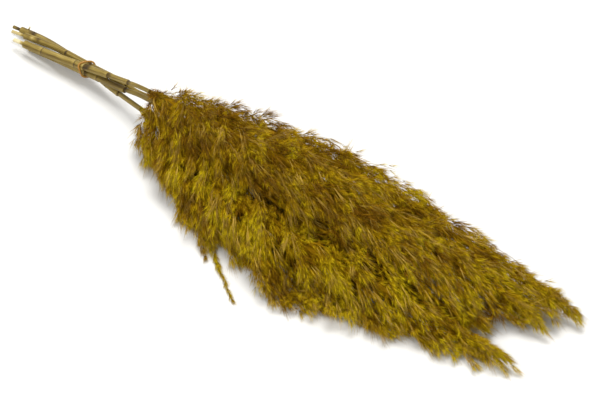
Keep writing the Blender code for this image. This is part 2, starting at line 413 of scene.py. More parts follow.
# %% [markdown]
# ## What can be seen
#
# Hair deep inside a plume is never seen, and a million faces go further where they show. So the bunch
# is first marked in a coarse grid of cells, and any point can then ask how freely it looks out past
# filled cells. Rays against the meshes would say it more exactly, but far more slowly. Where the
# upper and the front plume lie side by side, their fluff meets, so that valley is filled as well.

# %% Points along a path
# Rules in two rows, this one and those below, give places first and the values there second.
LOCK_WIDTHS = ((0, 0.36, 0.73, 1), (0.55, 1.0, 0.8, 0.15))
NEAR = 2
NEARLY_UPRIGHT = 0.05


def width_at(share):
    """Width of a lock along its length, as a share of its radius."""
    return np.interp(share, *LOCK_WIDTHS)


def length_of(path):
    return np.linalg.norm(np.diff(path, axis=0), axis=1).sum()


def path_frames(path, at):
    """Points and unit tangents of a path at shares of its length."""
    steps = np.linalg.norm(np.diff(path, axis=0), axis=1)
    reach = np.concatenate([[0], np.cumsum(steps)])
    where = at * reach[-1]
    points = np.stack([np.interp(where, reach, path[:, k]) for k in range(3)], axis=1)
    ahead = np.stack([np.interp(where + NEAR, reach, path[:, k]) for k in range(3)], axis=1)
    behind = np.stack([np.interp(where - NEAR, reach, path[:, k]) for k in range(3)], axis=1)
    tangents = ahead - behind
    tangents /= np.linalg.norm(tangents, axis=1, keepdims=True)
    return points, tangents


def across(axes, turns):
    """As turned_out, for many axes at once."""
    side = np.cross(axes, np.array([0.0, 0.0, 1.0]))
    side[np.linalg.norm(side, axis=1) < NEARLY_UPRIGHT] = np.array([1.0, 0.0, 0.0])
    side /= np.linalg.norm(side, axis=1, keepdims=True)
    above = np.cross(side, axes)
    return side * np.cos(turns)[:, None] + above * np.sin(turns)[:, None]


print(f"the first lock is {length_of(branches['top'][0][0]):.0f} mm long")

# %% Fill the cells
CELL = 5
GRID_LOW = np.array([150, -200, -20])
GRID_SIZE = np.array([700, 320, 160])
AXIS_STEPS = (-1, 0, 1)
LOCK_FILL = 0.6
CELL_REACH = 0.7
HEART_FILL = 12
VALLEY = (215, 690)
VALLEY_SHARES = (0.35, 0.5, 0.65)
VALLEY_LIFT = ((215, 560, 660), (11, 11, -4))
VALLEY_FILL = 25


def fill_cells(locks):
    """Mark the cells that fluff stands in."""
    cells = np.zeros(GRID_SIZE // CELL, dtype=bool)
    for path, radius in locks:
        at = np.linspace(0, 1, round(length_of(path) / CELL) + 2)
        points, _ = path_frames(path, at)
        reach = radius * LOCK_FILL * width_at(at)
        for x in AXIS_STEPS:
            for y in AXIS_STEPS:
                for z in AXIS_STEPS:
                    spots = points + np.array([x, y, z]) * reach[:, None] * CELL_REACH
                    index = ((spots - GRID_LOW) / CELL).astype(int)
                    index = index[((index >= 0) & (index < cells.shape)).all(axis=1)]
                    cells[index[:, 0], index[:, 1], index[:, 2]] = True
    return cells


def plume_axis(name):
    return np.array([at_x(name, x) for x in np.arange(*plume_ends(name), CELL)])


def valley_lines():
    """Lines between the upper and the front plume, whose fluff meets and closes the valley."""
    rows = []
    for share in VALLEY_SHARES:
        line = [at_x("top", x).lerp(at_x("front", x), share) + UP * np.interp(x, *VALLEY_LIFT)
                for x in np.arange(*VALLEY, CELL)]
        rows.append((np.array(line), VALLEY_FILL))
    return rows


hearts = [(plume_axis(name), HEART_FILL) for name in STALKS]
cells = fill_cells(hearts + valley_lines() + [lock for locks in branches.values() for lock in locks])
print(f"cells filled: {cells.sum()} of {CELL} mm")

# %% Openness of a point
LOOKS = [(x, y, z) for x in AXIS_STEPS for y in AXIS_STEPS for z in (0, 1) if (x, y, z) != (0, 0, 0)]
SIGHT = (9, 17, 26)
BEST_LOOKS = 4


def openness(points):
    """How freely each point sees out of the bunch, from 0, buried, to 1, at its surface."""
    views = []
    for look in LOOKS:
        ray = np.array(look) / np.linalg.norm(look)
        free = np.zeros(len(points))
        for far in SIGHT:
            index = ((points + ray * far - GRID_LOW) / CELL).astype(int)
            index = np.clip(index, 0, np.array(cells.shape) - 1)
            free += ~cells[index[:, 0], index[:, 1], index[:, 2]]
        views.append(free / len(SIGHT))
    return np.sort(views, axis=0)[-BEST_LOOKS:].mean(axis=0)


for name in STALKS:
    print(f"{name}: its middle line sees out by {openness(plume_axis(name)).mean():.2f}")

# %% [markdown]
# ## The coat
#
# Seen from outside, the plumes are one shaggy coat. It lies on the filled cells: they are blurred, and
# where the blur has a middling value is the coat's surface. The slope of the blur there says which
# way is out. A surface mesh could be wrapped round the locks instead, but the cells answer the two
# questions that a hair asks, whether it is inside and which way is out, at any point.

# %% Blur the cells
COAT_BLUR = 3
COAT_LEVEL = 0.38
LEAST_SLOPE = 0.01
SEEN = 0.35


def blurred(cells):
    """How full the surroundings of each cell are, from 0 to 1."""
    fullness = cells.astype(float)
    for _ in range(COAT_BLUR):
        for axis in range(3):
            fullness = (np.roll(fullness, 1, axis) + fullness + np.roll(fullness, -1, axis)) / 3
    return fullness


fullness = blurred(cells)
slopes = np.stack(np.gradient(fullness), axis=-1)
LAST_PLACE = np.array(cells.shape) - 1.001


def coat_at(point):
    """How full the bunch is at a point, between the middles of eight cells, and which way is out."""
    place = np.clip((np.array(point) - GRID_LOW) / CELL - 0.5, 0, LAST_PLACE)
    low = place.astype(int)
    part = place - low
    full, slope = 0.0, np.zeros(3)
    for i in (0, 1):
        for j in (0, 1):
            for k in (0, 1):
                share = np.prod(np.where((i, j, k), part, 1 - part))
                full += share * fullness[low[0] + i, low[1] + j, low[2] + k]
                slope += share * slopes[low[0] + i, low[1] + j, low[2] + k]
    out = Vector(-slope)
    return full, out.normalized() if out.length > LEAST_SLOPE else None


def coat_spots(rng):
    """Points strewn over the coat where it can be seen, in random order."""
    inside = fullness >= COAT_LEVEL
    edge = np.zeros_like(inside)
    for axis in range(3):
        for step in (-1, 1):
            edge |= inside & ~np.roll(inside, step, axis)
    spots = (np.argwhere(edge) + rng.random((edge.sum(), 3))) * CELL + GRID_LOW
    spots = rng.permutation(spots[spots[:, 2] > 0])
    return spots[openness(spots) >= SEEN]


print(f"coat: {len(coat_spots(np.random.default_rng(0)))} cells can be seen")

# %% [markdown]
# ## Tufts on the coat
#
# Tufts lie on the coat like shingles. They run along the plumes and all fall towards the front, more
# steeply near the canes, and their ends come free. More tufts lie below them as a lining, darker with
# painted shade, which shows in the hollows. They are planted no closer to each other than a gap, and
# never in the places where the real fluff parts along its lower edge. Combing particle hair would give
# the same look, but the part has to be plain meshes.

# %% Places for the tufts
# The gaps that stay free, each a centre and a reach.
PARTED = ((Vector((408, -134, 5)), 22), (Vector((434, -137, 5)), 22), (Vector((286, -104, 8)), 16),
          (Vector((690, -27, 12)), 24), (Vector((660, -30, 14)), 14))


def nearest_stalk(spot):
    def distance(name):
        beyond = max(0, spot[0] - plume_ends(name)[1])
        return (Vector(spot) - at_x(name, spot[0])).length + beyond
    return min(STALKS, key=distance)


def parted(point):
    """Whether a point is in one of the gaps along the lower edge."""
    return any((point - centre).length < reach for centre, reach in PARTED)


def spaced(spots, gap):
    """Those of the spots that keep their distance to the ones before them."""
    taken = {}
    kept = []
    for spot in spots:
        x, y, z = (int(c // gap) for c in spot)
        near = [other for i in AXIS_STEPS for j in AXIS_STEPS for k in AXIS_STEPS
                for other in taken.get((x + i, y + j, z + k), ())]
        if all(np.linalg.norm(spot - other) >= gap for other in near):
            taken.setdefault((x, y, z), []).append(spot)
            kept.append(spot)
    return kept


print("the first stalk's end belongs to:", nearest_stalk(STALKS["top"]["line"][-1]))

# %% [markdown]
# A tuft walks over the coat in small steps. It rises where it is too deep and sinks where it is too
# high, so it follows the plume's form, and how deep it should lie differs from place to place, which
# gives the plumes their humps and hollows.

# %% Plant the tufts
# Falls grow with each millimetre of a tuft. A level is how full the coat is where a tuft should lie:
# the lining lies deeper than the coat's tufts, and a sink that is negative lifts them out of it.
TUFT_GAP = 15
LINING_GAP = 12
TUFT_SEED = 12
LINING_SEED = 5
TUFT_LENGTH = (62, 64, 42)
TUFT_RADIUS = (7.5, 8.5, 5.0)
TUFT_LENGTH_SPREAD = (0.7, 1.2)
TUFT_RADIUS_SPREAD = (0.8, 1.2)
SHORTEST_TUFT = 12
TUFT_FALL = ((0, 0.1, 0.2, 0.3, 0.5, 1), (1.5, 1.6, 1.2, 0.75, 0.5, 0.15))
PLUME_FALL = {"top": 0.5, "back": 0.3, "front": 1.1, "low": 1.1}
FALL = Vector((0, -0.85, -0.5))
FALL_GROWTH = 1 / 60
TUFT_END = 26
TUFT_STEPS = 9
TUFT_FREE = 3
TUFT_DEPTH = 5
TUFT_REST = 0.4
WHOLE_STEPS = 2
SHORT_OF_TIP = 2
TUFT_SWAY = 0.14
TUFT_STEER = 3.0
TUFT_RISE = 0.7
TUFT_LEVEL = (0.42, 0.59)
TUFT_LIFT = 0.05
LOW_SWEEP = 25
TUFT_SINK = {
    "top": ((0, 0.06, 0.14, 0.3, 0.45, 0.6), (0.05, 0, -0.17, -0.14, 0, 0.05)),
    "back": ((0, 0.1, 0.22, 0.3, 0.4, 0.6, 0.8, 1), (0, -0.07, -0.09, 0, 0.1, 0.24, 0.12, 0.15)),
    "front": ((0, 0.06, 0.15, 0.4), (0.05, 0, -0.08, 0)),
    "low": ((0, 0.06, 0.15, 0.4), (0.05, 0, -0.08, 0)),
}
FREE_FALL = 1 / 28
TUFT_LEVEL_TOP = 75
LINING_DEPTH = 0.14


def tuft_path(name, spot, rng, depth):
    """One tuft: it rises out of the coat, then creeps over it, along and downwards."""
    base, tip = plume_ends(name)
    t = min(1, max(0, (spot[0] - base) / (tip - base)))
    fall = FALL * np.interp(t, *TUFT_FALL) * PLUME_FALL[name]
    fall.y *= min(1, spot[2] / LOW_SWEEP)
    lift = depth + np.interp(t, *TUFT_SINK[name]) + rng.normal(0, TUFT_LIFT)
    along = tangent(name, min(tip - SHORT_OF_TIP, max(base, spot[0])))
    room = max(SHORTEST_TUFT, tip + TUFT_END - spot[0])
    length = min(mix3(TUFT_LENGTH, t) * rng.uniform(*TUFT_LENGTH_SPREAD), room)
    radius = mix3(TUFT_RADIUS, t) * rng.uniform(*TUFT_RADIUS_SPREAD)
    flow = (along + fall + Vector(rng.normal(0, TUFT_SWAY, 3))).normalized()
    step = length / TUFT_STEPS
    out = coat_at(spot)[1] or UP
    point = Vector(spot) - out * TUFT_DEPTH
    path = [point]
    for k in range(TUFT_STEPS):
        full, new_out = coat_at(point)
        if k < TUFT_STEPS - TUFT_FREE:
            out = new_out or out
            heading = (flow - out * flow.dot(out)).normalized()
            level = np.interp(point.z, (0, TUFT_LEVEL_TOP), TUFT_LEVEL) + lift
            rise = min(TUFT_RISE, max(-TUFT_RISE, (full - level) * TUFT_STEER))
            heading = (heading + out * rise).normalized()
        else:
            heading = (heading + FALL * step * FREE_FALL).normalized()
        point = point + heading * step
        point.z = max(point.z, radius * TUFT_REST)
        if k > WHOLE_STEPS and parted(point):
            break
        path.append(point.copy())
        flow = (flow + fall * step * FALL_GROWTH).normalized()
    return np.array(path), radius


def plant_tufts(seed, gap, depth):
    rng = np.random.default_rng(seed)
    rows = {name: [] for name in STALKS}
    for spot in spaced(coat_spots(rng), gap):
        if not parted(Vector(spot)):
            name = nearest_stalk(spot)
            rows[name].append(tuft_path(name, spot, rng, depth))
    return rows


tufts = plant_tufts(TUFT_SEED, TUFT_GAP, depth=0)
lining = plant_tufts(LINING_SEED, LINING_GAP, LINING_DEPTH)
print("tufts:", {name: len(rows) for name, rows in tufts.items()})
print("lining:", {name: len(rows) for name, rows in lining.items()})

# %% [markdown]
# ## The ends of the plumes
#
# Where a cane goes into its plume, short tufts hug it, so that the cane is swallowed by fluff and does
# not just stop. At the other end the last hairs lie together and draw the plume out to a point. The
# tufts on the coat could be made to do both, but a rule for each end is easier to steer.

# %% Collars round the canes
COLLAR_TUFTS = 16
COLLAR_START = (-9, 12)
COLLAR_LENGTH = (20, 32)
COLLAR_RADIUS = 3.2
COLLAR_OPENING = math.radians(9)
COLLAR_DROOP = 1.6


def collar_tufts(name):
    draw = random.Random(f"collar {name}")
    rows = []
    for k in range(COLLAR_TUFTS):
        x = STALKS[name]["base"] + draw.uniform(*COLLAR_START)
        along = tangent(name, x)
        out = turned_out(along, math.radians(k * GOLDEN_ANGLE))
        heading = along * math.cos(COLLAR_OPENING) + out * math.sin(COLLAR_OPENING)
        step = draw.uniform(*COLLAR_LENGTH) / TUFT_STEPS
        point = at_x(name, x)
        path = [point]
        for _ in range(TUFT_STEPS):
            point = point + heading * step
            path.append(point)
            heading = (heading - UP * COLLAR_DROOP * step / 100).normalized()
        rows.append((np.array(path), COLLAR_RADIUS))
    return rows


print("collars:", {name: len(collar_tufts(name)) for name in STALKS})

# %% Wisps at the tips
WISPS = 11
WISP_START = (10, 26)
WISP_REACH = (0.7, 1.0)
WISP_RADIUS = 3.0
WISP_SWAY = 0.07
WISP_ARCH = 6
WISP_ENDS = {"top": (705, 1, 8), "back": (726, 38, 5), "front": (722, -56, 5), "low": (675, -28, 8)}


def random_sway(draw, size):
    return Vector([draw.gauss(0, size) for _ in range(3)])


def tip_wisps(name):
    """Thin wisps that run on past the last tufts, a little arched."""
    draw = random.Random(f"tip {name}")
    rows = []
    for _ in range(WISPS):
        start = at_x(name, plume_ends(name)[1] - draw.uniform(*WISP_START))
        way = (Vector(WISP_ENDS[name]) - start) * draw.uniform(*WISP_REACH)
        sway = random_sway(draw, WISP_SWAY) * way.length
        path = []
        for k in range(TUFT_STEPS + 1):
            share = k / TUFT_STEPS
            arch = UP * WISP_ARCH * math.sin(share * math.pi)
            path.append(start + (way + sway * share) * share + arch)
        rows.append((np.array(path), WISP_RADIUS))
    return rows


for name in STALKS:
    tufts[name] += collar_tufts(name) + tip_wisps(name)
print("tufts with both ends:", {name: len(rows) for name, rows in tufts.items()})

# %% [markdown]
# ## The lower edge and the seams
#
# Along its lower edge the front plume has pointed tufts that stick out over the surface. Where the
# upper plume parts from its neighbours, their fluff interlocks, and the seam shows only as a dark
# line. Both are too local for a rule over the whole coat, so straight tufts are set there one by one:
# each is set at the first place outside the coat, found by stepping outwards, with its root inside.

# %% A skirt along the lower edge
SKIRT = (318, 331, *range(450, 676, 13))
SKIRT_LEVEL = 0.45
SKIRT_ROOT = 14
SKIRT_LENGTH = ((331, 450, 480, 520, 560, 590, 625), (66, 34, 44, 44, 26, 30, 44))
SKIRT_RADIUS = 7
SKIRT_FLOOR = 5
SKIRT_TURN = ((340, 560, 630), (-0.83, -0.83, -0.38))
SKIRT_DIP = -0.15
SKIRT_HEIGHT = (7, 18)
SKIRT_SPREAD = (0.75, 1.15)
SET_SWAY = 0.1
SEARCH_STEP = 2


def straight_tuft(foot, reach):
    return np.array([foot + reach * k / TUFT_STEPS for k in range(TUFT_STEPS + 1)])


def skirt_tufts():
    """Pointed tufts that stick out along the lower edge of the front plume."""
    draw = random.Random("skirt")
    rows = []
    for x in SKIRT:
        spot = at_x("front", x)
        spot.z = draw.uniform(*SKIRT_HEIGHT)
        while coat_at(spot)[0] > SKIRT_LEVEL:
            spot.y -= SEARCH_STEP
        heading = Vector((1, np.interp(x, *SKIRT_TURN), SKIRT_DIP)).normalized()
        heading = (heading + random_sway(draw, SET_SWAY)).normalized()
        reach = heading * np.interp(x, *SKIRT_LENGTH) * draw.uniform(*SKIRT_SPREAD)
        path = straight_tuft(spot - heading * SKIRT_ROOT, reach)
        path[:, 2] = np.maximum(path[:, 2], SKIRT_FLOOR)
        rows.append((path, SKIRT_RADIUS))
    return rows


tufts["front"] += skirt_tufts()
print("skirt:", len(SKIRT), "tufts")

# %% Fillers in the seams
FILLERS = (("front", range(260, 470, 12), (0.35, 0.5), 0.45),
           ("front", range(470, 640, 7), (0.25, 0.4, 0.55), 0.45),
           ("back", range(588, 686, 6), (0.45, 0.65, 0.85), 0.15))
FILLER_LENGTH = 46
FILLER_SPREAD = (0.8, 1.15)
FILLER_ROOT = 0.4


def valley_tufts():
    """Tufts in each seam, given by its neighbour, places, shares of the way to it, and fall."""
    draw = random.Random("valley")
    rows = []
    for neighbour, places, shares, fall in FILLERS:
        for k, x in enumerate(places):
            spot = at_x("top", x).lerp(at_x(neighbour, x), shares[k % len(shares)])
            while coat_at(spot)[0] > SKIRT_LEVEL:
                spot.z += SEARCH_STEP
            heading = tangent("top", x) + FALL * fall + random_sway(draw, SET_SWAY)
            reach = heading.normalized() * FILLER_LENGTH * draw.uniform(*FILLER_SPREAD)
            foot = spot - UP * TUFT_DEPTH - reach * FILLER_ROOT
            rows.append((straight_tuft(foot, reach), SKIRT_RADIUS))
    return rows


tufts["top"] += valley_tufts()
print("fillers:", sum(len(places) for _, places, _, _ in FILLERS), "tufts")

# %% [markdown]
# ## One spikelet and one spray
#
# The fluff is made of spikelets: one papery glume with a fan of silky hairs round it. Between them,
# bare branchlets show as thin tan lines. Both are modelled once from slim cones joined together and
# copied thousands of times, so each strand has only four faces. Real hairs are a twentieth of a
# millimetre thick. These stand for several at once, just thick enough to show in the picture.

# %% Model the spikelet and the spray
# Widths and lengths are in millimetres, the fan is in degrees, and the map is a range of v.
SPIKELET = [
    {"strands": 1, "width": 0.34, "length": (9, 14), "fan": (3, 13), "map": (0.5, 0.75)},
    {"strands": 7, "width": 0.24, "length": (7, 12), "fan": (8, 36), "map": (0, 0.5)},
]
SPRAY = [
    {"strands": 3, "width": 0.24, "length": (16, 28), "fan": (2, 9), "map": (0.75, 1)},
]
ROOT_SPREAD = 5
STRAND_SIDES = 3
STRAND_FACES = STRAND_SIDES + 1
STRAND_TINT = 0.03
MAP_MARGIN = 0.02


def model_unit(name, kinds):
    """Slim cones joined into one mesh along +Z, in millimetres, read out as arrays."""
    draw = random.Random(name)
    bpy.ops.object.select_all(action="DESELECT")
    strands = []
    for kind in kinds:
        for _ in range(kind["strands"]):
            length = draw.uniform(*kind["length"])
            fan = math.radians(draw.uniform(*kind["fan"]))
            around = math.radians(GOLDEN_ANGLE * len(strands))
            sideways = math.sin(fan)
            heading = Vector((sideways * math.cos(around), sideways * math.sin(around), math.cos(fan)))
            root = UP * draw.uniform(0, ROOT_SPREAD)
            bpy.ops.mesh.primitive_cone_add(
                vertices=STRAND_SIDES, radius1=kind["width"], radius2=0, depth=length,
                location=root + heading * length / 2,
                rotation=heading.to_track_quat("Z", "Y").to_euler())
            strands.append(bpy.context.object)
    for strand in strands:
        strand.select_set(True)
    bpy.context.view_layer.objects.active = strands[0]
    bpy.ops.object.join()
    bpy.ops.object.transform_apply(location=True, rotation=True, scale=True)
    unit = bpy.context.object
    mesh = unit.data
    mesh.calc_loop_triangles()
    points = np.array([tuple(v.co) for v in mesh.vertices])
    faces = np.array([tuple(t.vertices) for t in mesh.loop_triangles])
    heights = points[faces.ravel(), 2] / points[:, 2].max()
    which = np.repeat(np.arange(len(faces)) // STRAND_FACES, 3)
    maps = np.array([kind["map"] for kind in kinds for _ in range(kind["strands"])])[which]
    room = maps[:, 1] - maps[:, 0] - 2 * MAP_MARGIN
    v = maps[:, 0] + MAP_MARGIN + room * np.clip(heights, 0, 1)
    tint = np.array([draw.gauss(0, STRAND_TINT) for _ in strands])[which]
    bpy.data.objects.remove(unit, do_unlink=True)
    print(f"{name}: {len(faces)} faces")
    return {"points": points, "faces": faces, "v": v, "tint": tint}


spikelet = model_unit("spikelet", SPIKELET)
spray = model_unit("spray", SPRAY)

# %% [markdown]
# ## Setting the copies
#
# Copies stand along each lock or tuft, more of them where the bunch is open to view. They lean out
# from its middle line and a little less towards its tip, which gives the pointed, feathery end. A copy
# also gets a tone of dye: one for its lock, a little of its own, and a slow drift over the bunch,
# because dyed plumes never take the colour evenly. Painted shade and light go into the same tone:
# it is darker near a lock's middle line, at a tuft's root and in the lining, and along the bunch it
# rises from the canes to the tips.

# %% Scatter the copies
# More copies than needed are drawn, and the spare ones that are seen least are dropped again.
SPARE = 1.5
SEEN_WELL = 0.6
SHUFFLE = 0.3
THIN_PATH = 5
RADIUS_POWER = 0.8
FEWEST_COPIES = 8
FIRST_COPY = 0.06
COPY_CROWDING = 0.85
END_MARGIN = 9
LEAN_CLOSING = 0.4
COPY_SPREAD = (0.75, 1.2)
THIN_SIZE = 0.8
THICK_GAIN = 0.2
FULL_RADIUS = 8
ROOT_SIZE = 1.1
TIP_LOSS = 0.35
MIDDLE_DYE = 0.5
LOCK_DYE = 0.16
COPY_DYE = 0.04
# Copies near a lock's middle line are darker and those at its edge lighter: painted shade of the hairs
# around them.
INNER_PAINTED_SHADE = 0.15
MEAN_OFF = 0.6
DYE_RANGE = (0.03, 0.97)
DYE_PATCH = 28
DYE_DRIFT = 0.5
# The tone rises along the bunch, darker towards the canes and lighter towards the tips: painted light,
# unchanged at this x.
PAINTED_LIGHT_MIDDLE = 400
TIPWARD_PAINTED_LIGHT = 0.0004
PLUME_DYE = {"top": -0.1, "back": 0.0, "front": 0.09, "low": 0.05}


def scatter(name, paths, rng, unit, faces, spread, root_painted_shade=0, dye=0):
    """Roots, headings, sizes and tones of a unit's copies along paths, the best seen ones kept.
    Each tone is dye with painted shade and light added.
    """
    count = int(faces // len(unit["faces"]))
    weights = np.array([length_of(path) * max(THIN_PATH, radius) ** RADIUS_POWER
                        for path, radius in paths])
    shares = np.round(weights / weights.sum() * count * SPARE)
    shares = np.maximum(FEWEST_COPIES, shares).astype(int)
    rows = []
    for (path, radius), share in zip(paths, shares):
        last = 1 - END_MARGIN / length_of(path)
        at = FIRST_COPY + (last - FIRST_COPY) * rng.random(share) ** COPY_CROWDING
        points, tangents = path_frames(path, at)
        off = np.sqrt(rng.random(share))
        out = across(tangents, rng.random(share) * 2 * np.pi)
        lean = np.radians(spread[0] + (spread[1] - spread[0]) * off * (1 - LEAN_CLOSING * at))
        roots = points + out * (off * width_at(at) * radius * LOCK_FILL)[:, None]
        heads = tangents * np.cos(lean)[:, None] + out * np.sin(lean)[:, None]
        thickness = THIN_SIZE + THICK_GAIN * min(1, radius / FULL_RADIUS)
        sizes = rng.uniform(*COPY_SPREAD, share) * thickness * (ROOT_SIZE - TIP_LOSS * at)
        # The dye shift of a set of copies; for the lining it is painted shade.
        dye_and_painted_light = MIDDLE_DYE + dye + PLUME_DYE[name] + rng.normal(0, LOCK_DYE)
        dye_and_painted_light = dye_and_painted_light + rng.normal(0, COPY_DYE, share)
        tipward_light = (points[:, 0] - PAINTED_LIGHT_MIDDLE) * TIPWARD_PAINTED_LIGHT
        dye_and_painted_light += (off - MEAN_OFF) * INNER_PAINTED_SHADE + (at - 0.5) * root_painted_shade + tipward_light
        rows.append((roots, heads, sizes, dye_and_painted_light))
    roots, heads, sizes, dye_and_painted_light = [np.concatenate(part) for part in zip(*rows)]
    rank = np.minimum(openness(roots), SEEN_WELL) + rng.random(len(roots)) * SHUFFLE
    keep = np.sort(np.argsort(-rank)[:count])
    drift = np.array([noise.noise(Vector(point) / DYE_PATCH) for point in roots[keep]])
    return roots[keep], heads[keep], sizes[keep], np.clip(dye_and_painted_light[keep] + drift * DYE_DRIFT, *DYE_RANGE)


print("more or less dye than the middle tone:", PLUME_DYE)

# %% Copy a unit
# A face needs some area on the map, so its corners stand a little apart in u.
CORNER_STEPS = (-0.006, 0.006, 0.0)
MAP_RANGE = (0.01, 0.99)


def copy_unit(unit, rng, roots, heads, sizes, dye_and_painted_light):
    """Points, faces and map places of a unit copied to every root."""
    side = across(heads, rng.random(len(heads)) * 2 * np.pi)
    above = np.cross(heads, side)
    axes = np.stack([side, above, heads], axis=1)
    points = roots[:, None, :] + np.einsum("n,vi,nij->nvj", sizes, unit["points"], axes)
    step = np.arange(len(roots)) * len(unit["points"])
    faces = unit["faces"][None] + step[:, None, None]
    width = np.tile(CORNER_STEPS, len(unit["faces"]))
    u = np.clip(dye_and_painted_light[:, None] + (unit["tint"] + width)[None], *MAP_RANGE)
    places = np.stack([u.ravel(), np.tile(unit["v"], len(roots))], axis=1)
    return points.reshape(-1, 3), faces.reshape(-1, 3), places


print("a copy of the spikelet has", len(spikelet["points"]), "points")

# %% [markdown]
# ## The matted heart of a plume
#
# Inside a plume the hairs are matted together and lie in deep shade. A slim closed body on each
# lock's path and a lumpy one round the rachis stand for them, so that no light shows through where the
# real plume has none. They take the painted shade of a strand's root as their colour. They are thinner
# where they could be seen. Many more hairs would close the inside as well, but would cost most of the
# faces that the outside needs.

# %% Slim closed bodies
# Their places on the map of the hairs are those of a strand's root, dark with painted shade.
BODY_SHARE = 0.4
BODY_HIDDEN = 0.93
BODY_END = 0.93
BODY_SIDES = 5
BODY_RINGS = 9
BODY_PAINTED_SHADE_PLACES = np.array([[0.4, 0.08], [0.46, 0.08], [0.43, 0.1]])
HEART_RADIUS = ((0, 0.04, 0.12, 0.3, 0.6, 0.85, 1), (2.2, 3.0, 6, 8, 7, 4, 1))
HEART_SIDES = 9
HEART_RINGS = 60
HEART_LEAD = 2
HEART_LUMPS = 16
HEART_LUMP_SIZE = 0.5
HEART_HIDDEN = 0.8
HEART_CLEAR = 1
HEART_PAINTED_SHADE_PLACES = np.array([[0.4, 0.07], [0.46, 0.07], [0.43, 0.09]])


def slim_tube(path, radii, sides):
    """Points and triangles of a closed tube along a path, pointed at both ends."""
    ahead = np.gradient(path, axis=0)
    ahead /= np.linalg.norm(ahead, axis=1, keepdims=True)
    count = len(path) - 2
    rows = [path[1:-1] + across(ahead[1:-1], np.full(count, 2 * math.pi * k / sides))
            * np.asarray(radii)[1:-1, None] for k in range(sides)]
    points = np.concatenate([np.stack(rows, axis=1).reshape(-1, 3), path[:1], path[-1:]])
    first = count * sides
    faces = []
    for k in range(sides):
        n = (k + 1) % sides
        for j in range(0, (count - 1) * sides, sides):
            faces += [(j + k, j + sides + n, j + n), (j + k, j + sides + k, j + sides + n)]
        faces.append((k, n, first))
        faces.append((first - sides + n, first - sides + k, first + 1))
    return points, np.array(faces)


def plume_heart(name):
    """The rachis with the matted foot of each branch: no light passes it."""
    base, tip = plume_ends(name)
    start = base - HEART_LEAD
    shares = np.linspace(0, 1, HEART_RINGS)
    line = np.array([at_x(name, start + (tip - start) * share) for share in shares])
    radii = np.interp(shares, *HEART_RADIUS)
    radii *= [1 + HEART_LUMP_SIZE * noise.noise(Vector(point) / HEART_LUMPS) for point in line]
    radii *= 1 - HEART_HIDDEN * openness(line) ** 2
    line[:, 2] = np.maximum(line[:, 2], radii + HEART_CLEAR)
    points, faces = slim_tube(line, radii, HEART_SIDES)
    return points, faces, np.tile(HEART_PAINTED_SHADE_PLACES, (len(faces), 1))


def lock_bodies(paths):
    rows = []
    at = np.linspace(0, BODY_END, BODY_RINGS)
    for path, radius in paths:
        line = path_frames(path, at)[0]
        radii = radius * BODY_SHARE * width_at(at) * (1 - BODY_HIDDEN * openness(line))
        points, faces = slim_tube(line, radii, BODY_SIDES)
        rows.append((points, faces, np.tile(BODY_PAINTED_SHADE_PLACES, (len(faces), 1))))
    return rows


print("faces of a plume's heart:", len(plume_heart("top")[1]))

# %% Make a piece of fluff
# What would go under the surface is eased up above it, and what stands over the crest pressed down.
FLOOR_SOFT = 3.0
CREST = 95
CREST_SOFT = 8


def add_piece(name, rows, material):
    """One mesh of all rows of points, faces and map places."""
    points = np.concatenate([row[0] for row in rows])
    starts = np.cumsum([0] + [len(row[0]) for row in rows[:-1]])
    faces = np.concatenate([row[1] + start for row, start in zip(rows, starts)])
    low = points[:, 2] < FLOOR_SOFT
    points[low, 2] = FLOOR_SOFT * np.exp(points[low, 2] / FLOOR_SOFT - 1)
    high = np.maximum(0, points[:, 2] - CREST)
    points[:, 2] += CREST_SOFT * (1 - np.exp(-high / CREST_SOFT)) - high
    mesh = bpy.data.meshes.new(name)
    mesh.vertices.add(len(points))
    mesh.vertices.foreach_set("co", ((points - np.array(BUNCH_ZERO)) * MM).ravel())
    mesh.loops.add(faces.size)
    mesh.loops.foreach_set("vertex_index", faces.ravel())
    mesh.polygons.add(len(faces))
    mesh.polygons.foreach_set("loop_start", np.arange(0, faces.size, 3))
    mesh.update(calc_edges=True)
    places = mesh.uv_layers.new(name="OFBake")
    places.uv.foreach_set("vector", np.concatenate([row[2] for row in rows]).ravel())
    mesh.materials.append(material)
    piece = bpy.data.objects.new(name, mesh)
    bpy.context.scene.collection.objects.link(piece)
    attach(piece, "root")
    print(f"{name}: {len(faces)} faces")
    return piece


# %% [markdown]
# ## Dyed hair
#
# The hairs are plant fibre: cellulose, silky, faintly glossy and dyed mustard. To the eye that is a
# warm yellow with a weak sheen and hardly a highlight, because light is scattered between many thin
# hairs. Towards the root of each strand and of each tuft it is painted brown and dark, as the shade
# where the hairs lie under each other. Colour is read from each strand's own map: its u says how much
# dye it took, with painted shade and light added, and its v which kind of strand it is and how far
# along it. A pattern in space would cut across the hairs instead of following them.

# %% Make the hair material
# On the map, v is below 0.5 for a hair, up to 0.75 for a glume and above that for a branchlet. The
# colour inputs of a Mix node are its inputs 6 and 7, and its colour output is output 2.
GLUMES_FROM = 0.5
BRANCHLETS_FROM = 0.75
HAIR_DYE = ((0.05, "#946c0c"), (0.5, "#d9b50a"), (0.95, "#f0dd1c"))
# A hair's colour is multiplied by painted shade along it, darkest at its root.
HAIR_ROOT_PAINTED_SHADE = ((0.0, "#706050"), (0.12, "#b0a08c"), (0.3, "#e4ded6"), (0.5, "#ffffff"))
GLUME_DYE = ((0.1, "#9a6f14"), (0.9, "#dcc01c"))
STALK_DYE = ((0.1, "#74541c"), (0.9, "#cca84a"))


